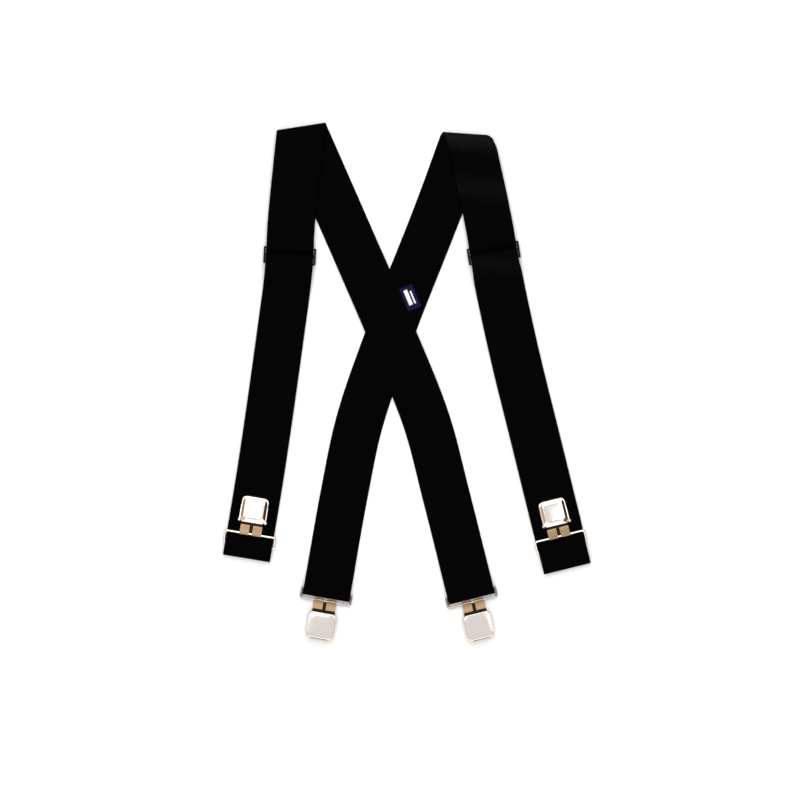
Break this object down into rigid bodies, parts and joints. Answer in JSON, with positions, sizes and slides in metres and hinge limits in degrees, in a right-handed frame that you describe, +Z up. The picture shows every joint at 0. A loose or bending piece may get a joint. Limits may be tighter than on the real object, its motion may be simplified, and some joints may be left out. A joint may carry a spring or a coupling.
{
  "type": "suspenders",
  "caption": "Wide black elastic X-back suspenders laid flat, fronts folded over at the shoulders, with slide adjusters and a lever clip on a wire ring at every strap end",
  "frame": {"origin": "middle of the footprint, on the surface the suspenders lie on", "axes": "+Y towards the shoulder folds, +X to the viewer's right as seen from above, +Z up off the table"},
  "size_m": [0.3932, 0.5546, 0.013],
  "materials": {
    "elastic": "black ribbed elastic webbing",
    "nickel": "bright nickel plate",
    "black_steel": "black enamel",
    "grip": "moulded grip",
    "label": "woven navy label"
  },
  "bodies": {
    "back_straps": {"left_back_strap": "elastic", "left_back_sewn_end": "elastic", "left_shoulder_fold": "elastic", "right_back_strap": "elastic", "right_back_sewn_end": "elastic", "right_shoulder_fold": "elastic", "label": "label"},
    "left_front": {"left_front_upper": "elastic"},
    "left_adjuster": {"left_adjuster_slide": "black_steel", "left_front_throat": "elastic", "left_front_sewn_end": "elastic"},
    "left_front_end": {"left_front_lower": "elastic", "left_front_return": "elastic", "left_front_loop": "elastic"},
    "left_front_ring": {"left_front_ring": "nickel"},
    "left_front_clip": {"left_front_clip_base": "nickel", "left_front_clip_pin": "nickel", "left_front_base_grip": "grip"},
    "left_front_lever": {"left_front_clip_lever": "nickel"},
    "left_front_jaw": {"left_front_clip_jaw": "nickel", "left_front_jaw_grip": "grip"},
    "left_back_ring": {"left_back_ring": "nickel"},
    "left_back_clip": {"left_back_clip_base": "nickel", "left_back_clip_pin": "nickel", "left_back_base_grip": "grip"},
    "left_back_lever": {"left_back_clip_lever": "nickel"},
    "left_back_jaw": {"left_back_clip_jaw": "nickel", "left_back_jaw_grip": "grip"},
    "right_front": {"right_front_upper": "elastic"},
    "right_adjuster": {"right_adjuster_slide": "black_steel", "right_front_throat": "elastic", "right_front_sewn_end": "elastic"},
    "right_front_end": {"right_front_lower": "elastic", "right_front_return": "elastic", "right_front_loop": "elastic"},
    "right_front_ring": {"right_front_ring": "nickel"},
    "right_front_clip": {"right_front_clip_base": "nickel", "right_front_clip_pin": "nickel", "right_front_base_grip": "grip"},
    "right_front_lever": {"right_front_clip_lever": "nickel"},
    "right_front_jaw": {"right_front_clip_jaw": "nickel", "right_front_jaw_grip": "grip"},
    "right_back_ring": {"right_back_ring": "nickel"},
    "right_back_clip": {"right_back_clip_base": "nickel", "right_back_clip_pin": "nickel", "right_back_base_grip": "grip"},
    "right_back_lever": {"right_back_clip_lever": "nickel"},
    "right_back_jaw": {"right_back_clip_jaw": "nickel", "right_back_jaw_grip": "grip"}
  },
  "joints": [
    {"name": "left_shoulder", "type": "hinge", "parent": "back_straps", "child": "left_front", "pos_m": [-0.11306, 0.27424, 0.0037], "axis": [-0.9878, -0.1555, 0], "range_deg": [0, 178], "deforming": ["left_shoulder_fold"]},
    {"name": "left_adjuster_travel", "type": "slide", "parent": "left_front", "child": "left_adjuster", "axis": [-0.142, -0.9899, 0], "range_m": [-0.03, 0.26], "deforming": ["left_front_upper"]},
    {"name": "left_front_length", "type": "slide", "parent": "left_adjuster", "child": "left_front_end", "axis": [-0.142, -0.9899, 0], "range_m": [-0.13, 0.015], "deforming": ["left_front_lower", "left_front_return"]},
    {"name": "left_front_ring_swing", "type": "hinge", "parent": "left_front_end", "child": "left_front_ring", "pos_m": [-0.16905, -0.17407, 0.00285], "axis": [0.9868, -0.1619, 0], "range_deg": [0, 178], "deforming": ["left_front_loop"]},
    {"name": "left_front_clip_swing", "type": "hinge", "parent": "left_front_ring", "child": "left_front_clip", "pos_m": [-0.16714, -0.16264, 0.00555], "axis": [0.9868, -0.1619, 0], "range_deg": [0, 90]},
    {"name": "left_front_lever_open", "type": "hinge", "parent": "left_front_clip", "child": "left_front_lever", "pos_m": [-0.16487, -0.14882, 0.00895], "axis": [0.9868, -0.1619, 0], "range_deg": [0, 95]},
    {"name": "left_front_jaw_open", "type": "hinge", "parent": "left_front_clip", "child": "left_front_jaw", "pos_m": [-0.16487, -0.14882, 0.00895], "axis": [0.9868, -0.1619, 0], "range_deg": [0, 9]},
    {"name": "left_back_ring_swing", "type": "hinge", "parent": "back_straps", "child": "left_back_ring", "pos_m": [0.06777, -0.22402, 0.00285], "axis": [-0.9701, -0.2425, 0], "range_deg": [-90, 60], "deforming": ["left_back_sewn_end"]},
    {"name": "left_back_clip_swing", "type": "hinge", "parent": "left_back_ring", "child": "left_back_clip", "pos_m": [0.07065, -0.23555, 0.0023], "axis": [-0.9701, -0.2425, 0], "range_deg": [-90, 45]},
    {"name": "left_back_lever_open", "type": "hinge", "parent": "left_back_clip", "child": "left_back_lever", "pos_m": [0.07404, -0.24913, 0.0057], "axis": [-0.9701, -0.2425, 0], "range_deg": [0, 95]},
    {"name": "left_back_jaw_open", "type": "hinge", "parent": "left_back_clip", "child": "left_back_jaw", "pos_m": [0.07404, -0.24913, 0.0057], "axis": [-0.9701, -0.2425, 0], "range_deg": [0, 9]},
    {"name": "right_shoulder", "type": "hinge", "parent": "back_straps", "child": "right_front", "pos_m": [0.06709, 0.26624, 0.0037], "axis": [-0.9963, 0.0862, 0], "range_deg": [0, 178], "deforming": ["right_shoulder_fold"]},
    {"name": "right_adjuster_travel", "type": "slide", "parent": "right_front", "child": "right_adjuster", "axis": [0.2278, -0.9737, 0], "range_m": [-0.03, 0.26], "deforming": ["right_front_upper"]},
    {"name": "right_front_length", "type": "slide", "parent": "right_adjuster", "child": "right_front_end", "axis": [0.2278, -0.9737, 0], "range_m": [-0.13, 0.015], "deforming": ["right_front_lower", "right_front_return"]},
    {"name": "right_front_ring_swing", "type": "hinge", "parent": "right_front_end", "child": "right_front_ring", "pos_m": [0.16604, -0.17618, 0.00285], "axis": [0.971, 0.2391, 0], "range_deg": [0, 178], "deforming": ["right_front_loop"]},
    {"name": "right_front_clip_swing", "type": "hinge", "parent": "right_front_ring", "child": "right_front_clip", "pos_m": [0.16327, -0.16492, 0.00555], "axis": [0.971, 0.2391, 0], "range_deg": [0, 90]},
    {"name": "right_front_lever_open", "type": "hinge", "parent": "right_front_clip", "child": "right_front_lever", "pos_m": [0.15992, -0.15133, 0.00895], "axis": [0.971, 0.2391, 0], "range_deg": [0, 95]},
    {"name": "right_front_jaw_open", "type": "hinge", "parent": "right_front_clip", "child": "right_front_jaw", "pos_m": [0.15992, -0.15133, 0.00895], "axis": [0.971, 0.2391, 0], "range_deg": [0, 9]},
    {"name": "right_back_ring_swing", "type": "hinge", "parent": "back_straps", "child": "right_back_ring", "pos_m": [-0.08505, -0.22299, 0.00285], "axis": [-0.9848, 0.1736, 0], "range_deg": [-90, 60], "deforming": ["right_back_sewn_end"]},
    {"name": "right_back_clip_swing", "type": "hinge", "parent": "right_back_ring", "child": "right_back_clip", "pos_m": [-0.08711, -0.2347, 0.0023], "axis": [-0.9848, 0.1736, 0], "range_deg": [-90, 45]},
    {"name": "right_back_lever_open", "type": "hinge", "parent": "right_back_clip", "child": "right_back_lever", "pos_m": [-0.08954, -0.24849, 0.0057], "axis": [-0.9848, 0.1736, 0], "range_deg": [0, 95]},
    {"name": "right_back_jaw_open", "type": "hinge", "parent": "right_back_clip", "child": "right_back_jaw", "pos_m": [-0.08954, -0.24849, 0.0057], "axis": [-0.9848, 0.1736, 0], "range_deg": [0, 9]}
  ],
  "couplings": [
    {"joint": "left_front_length", "follows": "left_adjuster_travel", "ratio": -0.5},
    {"joint": "left_front_jaw_open", "follows": "left_front_lever_open", "ratio": 0.09},
    {"joint": "left_back_jaw_open", "follows": "left_back_lever_open", "ratio": 0.09},
    {"joint": "right_front_length", "follows": "right_adjuster_travel", "ratio": -0.5},
    {"joint": "right_front_jaw_open", "follows": "right_front_lever_open", "ratio": 0.09},
    {"joint": "right_back_jaw_open", "follows": "right_back_lever_open", "ratio": 0.09}
  ]
}
